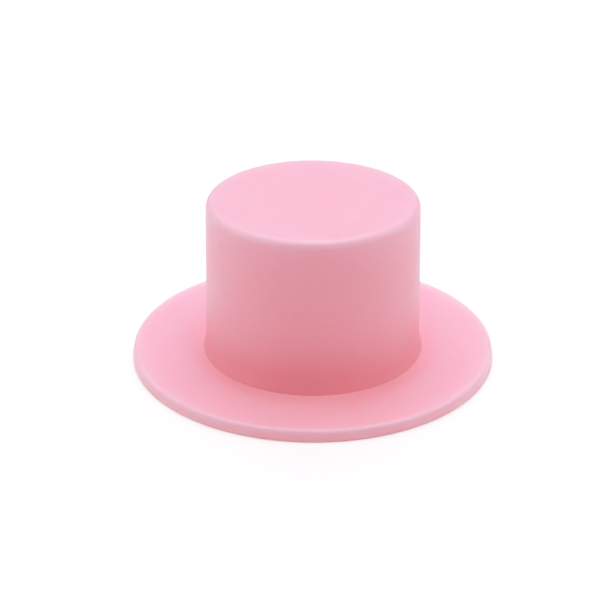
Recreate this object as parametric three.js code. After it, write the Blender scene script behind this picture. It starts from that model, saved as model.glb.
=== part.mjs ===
// A miniature top hat in pink plastic: a hollow crown that stands up through a dished brim ring.
//
// Units are millimetres and +Z is up. The origin is the centre of the plane that the hat stands on.
// The hat is made of two mouldings, and it is a solid of revolution about Z:
//   crown_shell  the flat top and the drafted wall in one cup, with a flange turned out at its foot
//   brim_ring    a ring that drops over the crown, seats on the foot flange and is bonded there
import * as THREE from "three";

// Driving dimensions.
const BRIM_RADIUS = 20; // at the foot of the rim's face
const CROWN_HEIGHT = 17.4; // from the brim's top surface at the crown's foot to the crown's top
const CROWN_TOP_RADIUS = 11.55; // outside, just under the rounded top edge
const CROWN_FOOT_RADIUS = 11.85; // outside, of the wall's cone at the brim's top surface
const WALL = 1.5; // the crown's wall and top
const BRIM_THICKNESS = 1.0; // beside the crown
const DISH_DEPTH = 0.3; // how much higher the brim's top surface is at the rim

// Smaller features.
const TOP_EDGE_RADIUS = 0.8;
const INNER_EDGE_RADIUS = 0.5; // between the inside of the wall and the ceiling
const FLANGE_RADIUS = 13.2;
const FLANGE_THICKNESS = 0.5;
const SEAM_GAP = 0.05; // all round between the crown and the brim
const FLARE_WIDTH = 0.28; // how far the wall's foot spreads beyond its cone at the brim
const FLARE_RISE = 1.0; // height above the brim where the flare's slope would reach the cone
const FLARE_HEIGHT = 2.0; // height above the brim where the flare begins
const FOOT_BREAK = 0.2; // broken edge at the mouth of the crown
const RIM_TOP_EDGE = 0.35; // rounding radius
const RIM_BOTTOM_EDGE = 0.25; // rounding radius
const RIM_DRAFT = THREE.MathUtils.degToRad(10); // the rim's face leans inwards going up

// Derived sizes.
const NECK_RADIUS = CROWN_FOOT_RADIUS + FLARE_WIDTH; // the wall inside the brim's hole
const BRIM_TOP = BRIM_THICKNESS;
const RIM_TOP = BRIM_TOP + DISH_DEPTH;
const TOP = BRIM_TOP + CROWN_HEIGHT;
const CEILING = TOP - WALL;

const SEGMENTS = 96; // round the axis
const ARC_DIVISIONS = 4; // each arc gets twice as many steps

const plastic = new THREE.MeshStandardMaterial({
  color: new THREE.Color(0.93, 0.6, 0.69),
  roughness: 0.5,
  metalness: 0,
});

// The outside of the crown's wall is a cone: its radius at height z.
function wallRadius(z) {
  const share = (z - BRIM_TOP) / CROWN_HEIGHT;
  return CROWN_FOOT_RADIUS + (CROWN_TOP_RADIUS - CROWN_FOOT_RADIUS) * share;
}

// A closed outline in (radius, height), turned about the vertical axis and stood on Z.
function turned(name, outline) {
  const geometry = new THREE.LatheGeometry(outline.getPoints(ARC_DIVISIONS), SEGMENTS);
  const mesh = new THREE.Mesh(geometry, plastic);
  mesh.name = name;
  mesh.rotation.x = Math.PI / 2;
  return mesh;
}

function crownShell() {
  const innerFoot = wallRadius(0) - WALL;
  const innerTop = wallRadius(CEILING) - WALL;
  const flareRise = BRIM_TOP + FLARE_RISE;
  const flareEnd = BRIM_TOP + FLARE_HEIGHT;
  const outline = new THREE.Path();
  outline.moveTo(0, CEILING);
  outline.lineTo(innerTop - INNER_EDGE_RADIUS, CEILING);
  outline.absarc(
    innerTop - INNER_EDGE_RADIUS, CEILING - INNER_EDGE_RADIUS, INNER_EDGE_RADIUS,
    Math.PI / 2, 0, true,
  );
  outline.lineTo(innerFoot, FOOT_BREAK);
  outline.lineTo(innerFoot + FOOT_BREAK, 0);
  outline.lineTo(FLANGE_RADIUS, 0);
  outline.lineTo(FLANGE_RADIUS, FLANGE_THICKNESS);
  outline.lineTo(NECK_RADIUS, FLANGE_THICKNESS);
  outline.lineTo(NECK_RADIUS, BRIM_TOP);
  outline.quadraticCurveTo(
    wallRadius(flareRise), flareRise,
    wallRadius(flareEnd), flareEnd,
  );
  outline.lineTo(CROWN_TOP_RADIUS, TOP - TOP_EDGE_RADIUS);
  outline.absarc(
    CROWN_TOP_RADIUS - TOP_EDGE_RADIUS, TOP - TOP_EDGE_RADIUS, TOP_EDGE_RADIUS,
    0, Math.PI / 2, false,
  );
  outline.lineTo(0, TOP);
  return turned("crown_shell", outline);
}

function brimRing() {
  const holeRadius = NECK_RADIUS + SEAM_GAP;
  const rebateRadius = FLANGE_RADIUS + SEAM_GAP;
  const seatHeight = FLANGE_THICKNESS + SEAM_GAP;
  const rimBottomCentre = BRIM_RADIUS - RIM_BOTTOM_EDGE;
  const faceFoot = RIM_BOTTOM_EDGE * (1 + Math.sin(RIM_DRAFT));
  const faceHead = RIM_TOP - RIM_TOP_EDGE * (1 - Math.sin(RIM_DRAFT));
  const faceHeadRadius = (
    rimBottomCentre + RIM_BOTTOM_EDGE * Math.cos(RIM_DRAFT)
    - (faceHead - faceFoot) * Math.tan(RIM_DRAFT)
  );
  const rimTopCentre = faceHeadRadius - RIM_TOP_EDGE * Math.cos(RIM_DRAFT);
  const dishMiddle = (CROWN_FOOT_RADIUS + rimTopCentre) / 2;
  const outline = new THREE.Path();
  outline.moveTo(rebateRadius, 0);
  outline.lineTo(rimBottomCentre, 0);
  outline.absarc(
    rimBottomCentre, RIM_BOTTOM_EDGE, RIM_BOTTOM_EDGE,
    -Math.PI / 2, RIM_DRAFT, false,
  );
  outline.lineTo(faceHeadRadius, faceHead);
  outline.absarc(
    rimTopCentre, RIM_TOP - RIM_TOP_EDGE, RIM_TOP_EDGE,
    RIM_DRAFT, Math.PI / 2, false,
  );
  outline.quadraticCurveTo(
    dishMiddle, BRIM_TOP,
    holeRadius, BRIM_TOP,
  );
  outline.lineTo(holeRadius, seatHeight);
  outline.lineTo(rebateRadius, seatHeight);
  outline.lineTo(rebateRadius, 0);
  return turned("brim_ring", outline);
}

const hat = new THREE.Group();
hat.add(crownShell(), brimRing());

export default hat;
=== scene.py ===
"""A miniature top hat in pink plastic, on a pale floor in soft studio light."""

import math

import bmesh
import bpy
from mathutils import Matrix, Vector


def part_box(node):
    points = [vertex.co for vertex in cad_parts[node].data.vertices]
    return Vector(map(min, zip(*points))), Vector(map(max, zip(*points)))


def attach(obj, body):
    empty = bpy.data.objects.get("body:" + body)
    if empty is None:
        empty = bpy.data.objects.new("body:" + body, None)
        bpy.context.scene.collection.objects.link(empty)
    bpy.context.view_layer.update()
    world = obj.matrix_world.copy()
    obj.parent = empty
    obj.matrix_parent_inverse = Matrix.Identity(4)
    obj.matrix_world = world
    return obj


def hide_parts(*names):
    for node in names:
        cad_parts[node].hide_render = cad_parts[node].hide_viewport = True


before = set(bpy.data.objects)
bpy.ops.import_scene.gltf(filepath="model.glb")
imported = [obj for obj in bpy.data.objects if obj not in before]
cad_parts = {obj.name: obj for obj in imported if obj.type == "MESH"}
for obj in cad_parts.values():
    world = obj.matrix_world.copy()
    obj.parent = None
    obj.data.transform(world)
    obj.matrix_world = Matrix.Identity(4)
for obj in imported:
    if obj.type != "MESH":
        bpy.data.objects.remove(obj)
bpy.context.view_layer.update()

MM = 0.001

# Sizes that the frame gives.
crown_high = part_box("crown_shell")[1]
brim_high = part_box("brim_ring")[1]
TOP = crown_high.z
FLANGE_RADIUS = crown_high.x
BRIM_RADIUS = brim_high.x

# Sizes that repeat the CAD source.
CROWN_HEIGHT = 17.4 * MM
CROWN_TOP_RADIUS = 11.55 * MM
CROWN_FOOT_RADIUS = 11.85 * MM
WALL = 1.5 * MM
BRIM_THICKNESS = 1.0 * MM
DISH_DEPTH = 0.3 * MM
RIM_TOP_EDGE = 0.35 * MM
RIM_BOTTOM_EDGE = 0.25 * MM
RIM_DRAFT = 10 # degrees that the rim's face leans inwards
FLANGE_THICKNESS = 0.5 * MM
TOP_EDGE_RADIUS = 0.8 * MM
INNER_EDGE_RADIUS = 0.5 * MM
FLARE_WIDTH = 0.28 * MM # how far the wall's foot spreads beyond its cone at the brim
FLARE_RISE = 1.0 * MM # height above the brim where the flare's slope would reach the cone
FLARE_HEIGHT = 2.0 * MM # height above the brim where the flare begins
FOOT_BREAK = 0.2 * MM # rounded edge at the mouth of the crown

# Finer features, which only the looks have.
SEAM_GAP = 0.004 * MM # the seam is pressed shut
SMALL_ROUND = 0.1 * MM
TOP_SINK = 0.04 * MM # the plastic's shrinkage draws the middle of the top down
GATE_RADIUS = 0.8 * MM # the trimmed stub of the sprue, inside the top
GATE_HEIGHT = 0.15 * MM
PIN_RADIUS = 0.9 * MM # round marks that the ejector pins leave under the brim
PIN_DEPTH = 0.1 * MM
PIN_COUNT = 4
PIN_START = math.radians(45)
PIN_CIRCLE = 16.4 * MM

# Sizes worked out from the others.
BRIM_TOP = TOP - CROWN_HEIGHT
RIM_TOP = BRIM_TOP + DISH_DEPTH
CEILING = TOP - WALL
NECK_RADIUS = CROWN_FOOT_RADIUS + FLARE_WIDTH # the wall inside the brim's hole

STEPS_ROUND = 256
SAME_POINT = 1e-7 # points closer together than this are one point
CREASE = math.radians(35) # edges sharper than this stay sharp in the shading


# Outlines in (radius, height).

def arc(centre_r, centre_z, radius, start_deg, end_deg, steps=12):
    """Points along an arc, its two ends included."""
    points = []
    for i in range(steps + 1):
        angle = math.radians(start_deg + (end_deg - start_deg) * i / steps)
        points.append((centre_r + radius * math.cos(angle), centre_z + radius * math.sin(angle)))
    return points


def bend(start, corner, end, steps=16):
    """Points along a quadratic curve that leaves start towards corner and arrives at end from it."""
    points = []
    for i in range(steps + 1):
        t = i / steps
        a, b, c = (1 - t) ** 2, 2 * t * (1 - t), t * t
        points.append(tuple(a * s + b * m + c * e for s, m, e in zip(start, corner, end)))
    return points


def line(start, end, steps=8):
    """Points along a straight stretch."""
    return [
        tuple(s + (e - s) * i / steps for s, e in zip(start, end))
        for i in range(steps + 1)
    ]


def wall_radius(z):
    """The outside of the crown's cone at height z."""
    share = (z - BRIM_TOP) / CROWN_HEIGHT
    return CROWN_FOOT_RADIUS + (CROWN_TOP_RADIUS - CROWN_FOOT_RADIUS) * share


def without_repeats(outline, closed):
    """The outline's points, less those that fall on the one before."""
    points = [outline[0]]
    for p in outline[1:]:
        if math.dist(p, points[-1]) > SAME_POINT:
            points.append(p)
    if closed and math.dist(points[0], points[-1]) < SAME_POINT:
        points.pop()
    return points


def ring_of_corners(mesh, r, z):
    """Corners in a circle about Z, or a single one on the axis."""
    if r < SAME_POINT:
        return [mesh.verts.new((0, 0, z))]
    ring = []
    for i in range(STEPS_ROUND):
        angle = 2 * math.pi * i / STEPS_ROUND
        ring.append(mesh.verts.new((r * math.cos(angle), r * math.sin(angle), z)))
    return ring


def turned(name, outline, closed):
    """An outline turned about Z. A closed one is a ring; an open one starts and ends on the axis."""
    mesh = bmesh.new()
    rings = [ring_of_corners(mesh, r, z) for r, z in without_repeats(outline, closed)]
    next_rings = rings[1:] + rings[:1] if closed else rings[1:]
    for low, high in zip(rings, next_rings):
        for i in range(STEPS_ROUND):
            j = (i + 1) % STEPS_ROUND
            corners = [low[i % len(low)], low[j % len(low)], high[j % len(high)], high[i % len(high)]]
            mesh.faces.new(list(dict.fromkeys(corners)))
    bmesh.ops.recalc_face_normals(mesh, faces=mesh.faces)
    data = bpy.data.meshes.new(name)
    mesh.to_mesh(data)
    mesh.free()
    piece = bpy.data.objects.new(name, data)
    bpy.context.scene.collection.objects.link(piece)
    return piece


def crown_outline():
    """From the sprue's stub down the inside, round the flange and up the outside to the top."""
    inner_foot = wall_radius(0) - WALL
    inner_top = wall_radius(CEILING) - WALL
    gate_z = CEILING - GATE_HEIGHT
    outline = [(0, gate_z), (GATE_RADIUS - SMALL_ROUND, gate_z)]
    outline += arc(GATE_RADIUS - SMALL_ROUND, gate_z + SMALL_ROUND, SMALL_ROUND, -90, 0, 4)
    outline += line((GATE_RADIUS, CEILING), (inner_top - INNER_EDGE_RADIUS, CEILING))
    outline += arc(inner_top - INNER_EDGE_RADIUS, CEILING - INNER_EDGE_RADIUS, INNER_EDGE_RADIUS, 90, 0)
    outline += line((inner_top, CEILING - INNER_EDGE_RADIUS), (inner_foot, FOOT_BREAK))
    outline += arc(inner_foot + FOOT_BREAK, FOOT_BREAK, FOOT_BREAK, 180, 270)
    outline += line((inner_foot + FOOT_BREAK, 0), (FLANGE_RADIUS - SMALL_ROUND, 0))
    outline += arc(FLANGE_RADIUS - SMALL_ROUND, SMALL_ROUND, SMALL_ROUND, -90, 0)
    outline += arc(FLANGE_RADIUS - SMALL_ROUND, FLANGE_THICKNESS - SMALL_ROUND, SMALL_ROUND, 0, 90)
    flare_end = (wall_radius(BRIM_TOP + FLARE_HEIGHT), BRIM_TOP + FLARE_HEIGHT)
    flare_corner = (wall_radius(BRIM_TOP + FLARE_RISE), BRIM_TOP + FLARE_RISE)
    outline += line((NECK_RADIUS, FLANGE_THICKNESS), (NECK_RADIUS, BRIM_TOP), 2)
    outline += bend((NECK_RADIUS, BRIM_TOP), flare_corner, flare_end, 12)
    outline += line(flare_end, (CROWN_TOP_RADIUS, TOP - TOP_EDGE_RADIUS), 24)
    outline += arc(CROWN_TOP_RADIUS - TOP_EDGE_RADIUS, TOP - TOP_EDGE_RADIUS, TOP_EDGE_RADIUS, 0, 90, 16)
    flat = CROWN_TOP_RADIUS - TOP_EDGE_RADIUS
    outline += bend((flat, TOP), (flat / 2, TOP), (0, TOP - TOP_SINK), 20)
    return outline


def rim_outline():
    """From the underside out round the rim to its top, with the face leaning in by its draft."""
    lean = math.radians(RIM_DRAFT)
    low_r = BRIM_RADIUS - RIM_BOTTOM_EDGE
    face_foot = RIM_BOTTOM_EDGE * (1 + math.sin(lean))
    face_head = RIM_TOP - RIM_TOP_EDGE * (1 - math.sin(lean))
    face_head_r = low_r + RIM_BOTTOM_EDGE * math.cos(lean) - (face_head - face_foot) * math.tan(lean)
    high_r = face_head_r - RIM_TOP_EDGE * math.cos(lean)
    outline = arc(low_r, RIM_BOTTOM_EDGE, RIM_BOTTOM_EDGE, -90, RIM_DRAFT, 12)
    outline += line(outline[-1], (face_head_r, face_head), 4)
    outline += arc(high_r, RIM_TOP - RIM_TOP_EDGE, RIM_TOP_EDGE, RIM_DRAFT, 90, 12)
    return outline


def brim_outline():
    """From the rebate's foot along the underside, round the rim and back through the hole."""
    hole = NECK_RADIUS + SEAM_GAP
    rebate = FLANGE_RADIUS + SEAM_GAP
    seat = FLANGE_THICKNESS + SEAM_GAP
    dish_foot = (hole, BRIM_TOP)
    rim = rim_outline()
    outline = arc(rebate + SMALL_ROUND, SMALL_ROUND, SMALL_ROUND, 180, 270)
    outline += line((rebate + SMALL_ROUND, 0), rim[0])
    outline += rim
    outline += bend(rim[-1], ((CROWN_FOOT_RADIUS + rim[-1][0]) / 2, BRIM_TOP), dish_foot, 32)
    outline += line(dish_foot, (hole, seat), 2)
    outline += line((hole, seat), (rebate, seat))
    return outline


def pin_at(angle):
    """A short cylinder that stands half way through the underside's plane."""
    mesh = bmesh.new()
    bmesh.ops.create_cone(
        mesh, cap_ends=True, segments=48, radius1=PIN_RADIUS, radius2=PIN_RADIUS, depth=2 * PIN_DEPTH,
    )
    data = bpy.data.meshes.new("pin")
    mesh.to_mesh(data)
    mesh.free()
    pin = bpy.data.objects.new("pin", data)
    pin.location = (PIN_CIRCLE * math.cos(angle), PIN_CIRCLE * math.sin(angle), 0)
    bpy.context.scene.collection.objects.link(pin)
    return pin


def press_pin_marks(piece):
    """Shallow round marks in the underside, one per ejector pin."""
    for i in range(PIN_COUNT):
        pin = pin_at(PIN_START + 2 * math.pi * i / PIN_COUNT)
        cut = piece.modifiers.new("mark", "BOOLEAN")
        cut.operation = "DIFFERENCE"
        cut.solver = "EXACT"
        cut.object = pin
        settled = piece.evaluated_get(bpy.context.evaluated_depsgraph_get())
        marked = bpy.data.meshes.new_from_object(settled)
        piece.modifiers.clear()
        piece.data = marked
        bpy.data.objects.remove(pin)


def smooth(piece):
    """Smooth shading that stops at real edges."""
    for face in piece.data.polygons:
        face.use_smooth = True
    piece.data.set_sharp_from_angle(angle=CREASE)


# Materials.

PINK = (0.98, 0.375, 0.45)
PINK_SHIFT = 0.018 # how far the pigment's clouding moves the colour either way
CLOUD_SIZE = 9 * MM
FLECK_SIZE = 0.9 * MM
ROUGHNESS_LOW = 0.41
ROUGHNESS_HIGH = 0.49
WEAR_SIZE = 2.5 * MM
PEEL_SIZE = 1.3 * MM # the slow ripple of a moulded surface
PEEL_HEIGHT = 0.003 * MM
GRAIN_SIZE = 0.09 * MM # the satin texture of the mould
GRAIN_HEIGHT = 0.003 * MM
REFRACTION = 1.46
SCATTER_DEPTH = (0.04 * MM, 4 * MM, 4 * MM) # for red, green and blue light
SEAM_NEAR = 0.3 * MM # no light scatters this close to the seam, which would drain it
SEAM_FAR = 2.5 * MM # and all of it scatters beyond this

NOISE_LOW = 0.3 # nearly all of a noise pattern's values lie between these
NOISE_HIGH = 0.7
CLOUD_DETAIL = 2
FLECK_DETAIL = 3
FLECK_SHARE = 0.3 # of the colour's variation; the clouding makes the rest
WEAR_DETAIL = 4
PEEL_DETAIL = 1
GRAIN_DETAIL = 2


def noise(nodes, links, where, size, detail):
    """A noise pattern with features of about the given size."""
    pattern = nodes.new("ShaderNodeTexNoise")
    pattern.inputs["Scale"].default_value = 1 / size
    pattern.inputs["Detail"].default_value = detail
    links.new(where, pattern.inputs["Vector"])
    return pattern.outputs["Fac"]


def between(nodes, links, value, low, high):
    """A noise pattern's value spread over low to high."""
    spread = nodes.new("ShaderNodeMapRange")
    spread.inputs["From Min"].default_value = NOISE_LOW
    spread.inputs["From Max"].default_value = NOISE_HIGH
    spread.inputs["To Min"].default_value = low
    spread.inputs["To Max"].default_value = high
    links.new(value, spread.inputs["Value"])
    return spread.outputs["Result"]


def ripple(nodes, links, height, size, below=None):
    """A bumpy surface normal, laid over the one below where there is one."""
    bump = nodes.new("ShaderNodeBump")
    bump.inputs["Strength"].default_value = 1
    bump.inputs["Distance"].default_value = size
    links.new(height, bump.inputs["Height"])
    if below:
        links.new(below, bump.inputs["Normal"])
    return bump.outputs["Normal"]


def blend(nodes, links, share, low, high):
    """A colour between two colours."""
    mix = nodes.new("ShaderNodeMix")
    mix.data_type = "RGBA"
    links.new(share, mix.inputs["Factor"])
    mix.inputs["A"].default_value = (*low, 1)
    mix.inputs["B"].default_value = (*high, 1)
    return mix.outputs["Result"]


def away_from_seam(nodes, links, where):
    """0 beside the seam round the crown's foot, 1 further off."""
    parts = nodes.new("ShaderNodeSeparateXYZ")
    flat = nodes.new("ShaderNodeCombineXYZ")
    radius = nodes.new("ShaderNodeVectorMath")
    radius.operation = "LENGTH"
    section = nodes.new("ShaderNodeCombineXYZ")
    distance = nodes.new("ShaderNodeVectorMath")
    distance.operation = "DISTANCE"
    distance.inputs[1].default_value = (NECK_RADIUS, 0, BRIM_TOP)
    share = nodes.new("ShaderNodeMapRange")
    share.inputs["From Min"].default_value = SEAM_NEAR
    share.inputs["From Max"].default_value = SEAM_FAR
    links.new(where, parts.inputs["Vector"])
    links.new(parts.outputs["X"], flat.inputs["X"])
    links.new(parts.outputs["Y"], flat.inputs["Y"])
    links.new(flat.outputs["Vector"], radius.inputs[0])
    links.new(radius.outputs["Value"], section.inputs["X"])
    links.new(parts.outputs["Z"], section.inputs["Z"])
    links.new(section.outputs["Vector"], distance.inputs[0])
    links.new(distance.outputs["Value"], share.inputs["Value"])
    return share.outputs["Result"]


def clouded_pink(nodes, links, where):
    """The pigment's slow clouding and fine flecks."""
    deep = tuple(c * (1 - PINK_SHIFT) for c in PINK)
    pale = tuple(c * (1 + PINK_SHIFT) for c in PINK)
    cloud = noise(nodes, links, where, CLOUD_SIZE, CLOUD_DETAIL)
    fleck = noise(nodes, links, where, FLECK_SIZE, FLECK_DETAIL)
    share = nodes.new("ShaderNodeMix")
    share.inputs["Factor"].default_value = FLECK_SHARE
    links.new(between(nodes, links, cloud, 0, 1), share.inputs["A"])
    links.new(between(nodes, links, fleck, 0, 1), share.inputs["B"])
    return blend(nodes, links, share.outputs["Result"], deep, pale)


def satin_normal(nodes, links, where):
    """A fine grain on a slow ripple."""
    peel_height = noise(nodes, links, where, PEEL_SIZE, PEEL_DETAIL)
    grain_height = noise(nodes, links, where, GRAIN_SIZE, GRAIN_DETAIL)
    peel = ripple(nodes, links, peel_height, PEEL_HEIGHT)
    return ripple(nodes, links, grain_height, GRAIN_HEIGHT, peel)


def satin_plastic():
    """Pale pink plastic that lets some light in and has an uneven satin finish."""
    material = bpy.data.materials.new("satin_pink")
    material.use_nodes = True
    nodes = material.node_tree.nodes
    links = material.node_tree.links
    shader = nodes["Principled BSDF"]
    where = nodes.new("ShaderNodeTexCoord").outputs["Object"]
    wear = noise(nodes, links, where, WEAR_SIZE, WEAR_DETAIL)
    roughness = between(nodes, links, wear, ROUGHNESS_LOW, ROUGHNESS_HIGH)
    links.new(clouded_pink(nodes, links, where), shader.inputs["Base Color"])
    links.new(roughness, shader.inputs["Roughness"])
    links.new(satin_normal(nodes, links, where), shader.inputs["Normal"])
    links.new(away_from_seam(nodes, links, where), shader.inputs["Subsurface Weight"])
    shader.inputs["Subsurface Scale"].default_value = 1
    shader.inputs["Subsurface Radius"].default_value = SCATTER_DEPTH
    shader.inputs["IOR"].default_value = REFRACTION
    return material


crown = turned("crown_moulding", crown_outline(), closed=False)
brim = turned("brim_moulding", brim_outline(), closed=True)
press_pin_marks(brim)
pink = satin_plastic()
for piece, node in ((crown, "crown_shell"), (brim, "brim_ring")):
    smooth(piece)
    piece.data.materials.append(pink)
    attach(piece, "root")
    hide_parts(node)


# Floor, light and camera.

FLOOR_RADIUS = 60 * BRIM_RADIUS
FLOOR_DROP = 0.02 * MM # keeps the floor just clear of the hat's underside
FLOOR_PAINT = (0.9, 0.9, 0.9)
FLOOR_ROUGHNESS = 0.8
FLOOR_SHINE = 0.2
FLOOR_GLOW = 0.16


def floor_paint():
    """Matt white that glows slightly, so that the floor runs out to white."""
    material = bpy.data.materials.new("floor_paint")
    material.use_nodes = True
    shader = material.node_tree.nodes["Principled BSDF"]
    shader.inputs["Base Color"].default_value = (*FLOOR_PAINT, 1)
    shader.inputs["Roughness"].default_value = FLOOR_ROUGHNESS
    shader.inputs["Specular IOR Level"].default_value = FLOOR_SHINE
    shader.inputs["Emission Color"].default_value = (1, 1, 1, 1)
    shader.inputs["Emission Strength"].default_value = FLOOR_GLOW
    return material


def floor():
    """A wide flat disc under the hat."""
    mesh = bmesh.new()
    bmesh.ops.create_circle(mesh, cap_ends=True, radius=FLOOR_RADIUS, segments=64)
    data = bpy.data.meshes.new("floor")
    mesh.to_mesh(data)
    mesh.free()
    surface = bpy.data.objects.new("floor", data)
    surface.location.z = -FLOOR_DROP
    bpy.context.scene.collection.objects.link(surface)
    data.materials.append(floor_paint())


WORLD_GLOW = 0.19 # light from all round, from no lamp in particular


def studio_air():
    """Even, neutral light from all round."""
    world = bpy.data.worlds.new("studio")
    bpy.context.scene.world = world
    world.use_nodes = True
    background = world.node_tree.nodes["Background"]
    background.inputs["Color"].default_value = (1, 1, 1, 1)
    background.inputs["Strength"].default_value = WORLD_GLOW


def softbox(name, azimuth, elevation, distance, size, power, color):
    """A rectangular light that faces the hat.

    Azimuth 0 is the camera's side and 90 is the right, in degrees. Distance and size are in metres.
    """
    data = bpy.data.lights.new(name, "AREA")
    data.shape = "RECTANGLE"
    data.size, data.size_y = size
    data.energy = power
    data.color = color
    lamp = bpy.data.objects.new(name, data)
    a, e = math.radians(azimuth), math.radians(elevation)
    way = Vector((math.sin(a) * math.cos(e), -math.cos(a) * math.cos(e), math.sin(e)))
    lamp.location = Vector((0, 0, TOP / 2)) + way * distance
    lamp.rotation_euler = way.to_track_quat("Z", "Y").to_euler()
    bpy.context.scene.collection.objects.link(lamp)


floor()
studio_air()
softbox("overhead", 180, 88, 0.5, (0.4, 0.4), 1.98, (0.92, 0.93, 1))
softbox("behind", 180, 50, 0.5, (0.4, 0.3), 1.2, (0.82, 0.81, 1))
softbox("high_front", 0, 75, 0.5, (0.4, 0.3), 0.29, (1, 0.95, 0.74))
softbox("left", -90, 35, 0.5, (0.4, 0.3), 0.34, (1, 1, 0.97))
softbox("right", 90, 35, 0.5, (0.4, 0.3), 0.56, (1, 0.98, 0.95))
softbox("low_left", -90, 10, 0.6, (0.5, 0.2), 0.53, (1, 0.98, 0.85))
softbox("low_right", 90, 10, 0.6, (0.5, 0.2), 0.28, (1, 0.9, 0.67))

CAMERA_DISTANCE = 9.5 * BRIM_RADIUS
CAMERA_ELEVATION = math.radians(25.63)
LENS = 104.16 # millimetres, as Blender counts lenses and sensors
SENSOR = 36
CLIP_NEAR = 0.01 # metres
CLIP_FAR = 20
AIM_LEFT = math.radians(0.474) # the hat stands a little right of the middle of the frame
AIM_DOWN = math.radians(0.937) # and a little above it


def camera():
    """A long lens, a little above the hat, in front of it."""
    data = bpy.data.cameras.new("camera")
    data.lens = LENS
    data.sensor_width = SENSOR
    data.clip_start = CLIP_NEAR
    data.clip_end = CLIP_FAR
    eye = bpy.data.objects.new("camera", data)
    target = Vector((0, 0, BRIM_TOP + CROWN_HEIGHT / 2))
    back = Vector((0, -math.cos(CAMERA_ELEVATION), math.sin(CAMERA_ELEVATION)))
    look = back.to_track_quat("Z", "Y").to_matrix()
    turn = Matrix.Rotation(AIM_LEFT, 3, "Z") @ look @ Matrix.Rotation(-AIM_DOWN, 3, "X")
    eye.matrix_world = Matrix.Translation(target + back * CAMERA_DISTANCE) @ turn.to_4x4()
    bpy.context.scene.collection.objects.link(eye)
    bpy.context.scene.camera = eye


SHOULDER = 0.7 # scene light up to here is kept as it is
WHITE = 1.3 # and this is shown as white


def film_shoulder():
    """Holds the colour of the brightest plastic, as a camera does, instead of clipping it."""
    view = bpy.context.scene.view_settings
    view.view_transform = "Standard"
    view.use_curve_mapping = True
    view.curve_mapping.white_level = (WHITE, WHITE, WHITE)
    curve = view.curve_mapping.curves[3]
    curve.points.new(SHOULDER / WHITE, SHOULDER)
    for point in curve.points:
        point.handle_type = "VECTOR"
    view.curve_mapping.update()


camera()
film_shoulder()
